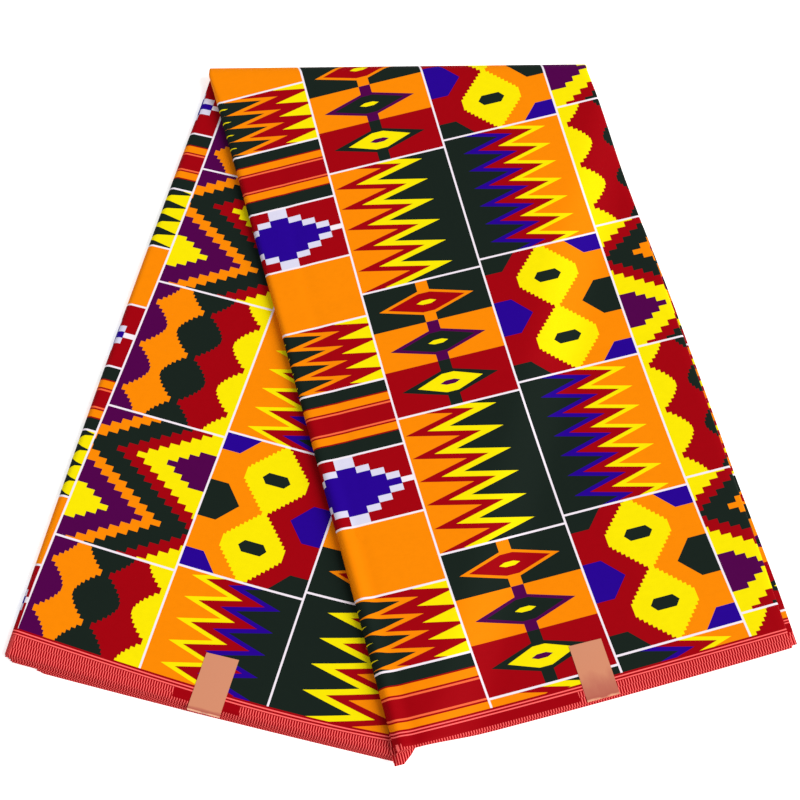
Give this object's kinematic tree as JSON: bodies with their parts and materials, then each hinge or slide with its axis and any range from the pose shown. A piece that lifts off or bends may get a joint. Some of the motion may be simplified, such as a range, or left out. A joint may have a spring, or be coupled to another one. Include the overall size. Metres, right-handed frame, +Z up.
{
  "type": "folded length of wax print cloth",
  "caption": "Printed cotton cloth folded lengthwise into a flat band, then laid folded over at its middle so two tails splay like an inverted V.",
  "frame": {"origin": "on the surface under the middle of the heap's bounding box", "axes": "+Z up, +Y towards the rounded top fold, +X towards the front tail's free side"},
  "size_m": [0.5644, 0.584, 0.0203],
  "materials": {
    "printed_cotton": "waxed plain weave cotton, many-coloured geometric print",
    "ply_edges": "plain weave cotton, folded and selvedge edges",
    "label_paper": "plain copper-toned paper"
  },
  "bodies": {
    "root": {"hidden_plies": "ply_edges", "back_tail_ply": "printed_cotton", "front_tail_ply": "printed_cotton", "top_fold_ply": "printed_cotton", "label_front": "label_paper", "label_back": "label_paper"}
  },
  "joints": []
}
